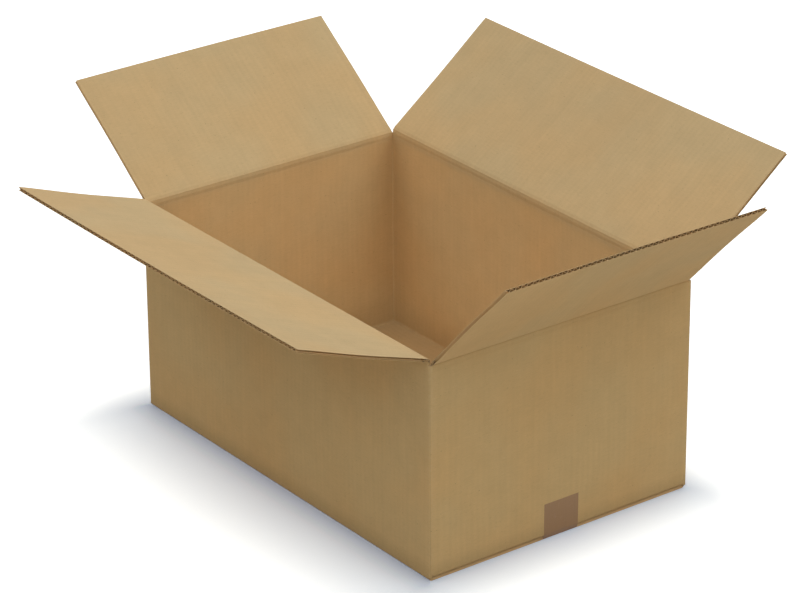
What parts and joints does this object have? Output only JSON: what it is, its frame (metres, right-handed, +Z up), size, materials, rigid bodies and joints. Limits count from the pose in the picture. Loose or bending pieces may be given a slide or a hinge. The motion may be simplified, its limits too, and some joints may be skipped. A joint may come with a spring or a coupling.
{
  "type": "open cardboard box",
  "caption": "Open corrugated cardboard box for packing and shipping, with top flaps that hinge on their creases and a bottom closed with brown tape.",
  "frame": {"origin": "middle of the underside, on the surface the box stands on", "axes": "+X along the long walls towards the end whose flap leans least, +Y towards the back long wall, +Z up"},
  "size_m": [0.8465, 0.6948, 0.4029],
  "materials": {
    "kraft_board": "matt kraft liner",
    "packing_tape": "satin brown tape"
  },
  "bodies": {
    "box": {"box_body": "kraft_board", "bottom_tape": "packing_tape"},
    "front_long_flap": {"front_long_flap": "kraft_board"},
    "back_long_flap": {"back_long_flap": "kraft_board"},
    "left_short_flap": {"left_short_flap": "kraft_board"},
    "right_short_flap": {"right_short_flap": "kraft_board"}
  },
  "joints": [
    {"name": "front_long_crease", "type": "hinge", "parent": "box", "child": "front_long_flap", "pos_m": [0, -0.186, 0.273], "axis": [1, 0, 0], "range_deg": [-160.4, 59.6]},
    {"name": "back_long_crease", "type": "hinge", "parent": "box", "child": "back_long_flap", "pos_m": [0, 0.186, 0.273], "axis": [-1, 0, 0], "range_deg": [-142, 78]},
    {"name": "left_short_crease", "type": "hinge", "parent": "box", "child": "left_short_flap", "pos_m": [-0.2825, 0, 0.2687], "axis": [0, -1, 0], "range_deg": [-143.6, 76.4]},
    {"name": "right_short_crease", "type": "hinge", "parent": "box", "child": "right_short_flap", "pos_m": [0.2825, 0, 0.2687], "axis": [0, 1, 0], "range_deg": [-134.3, 85.7]}
  ]
}
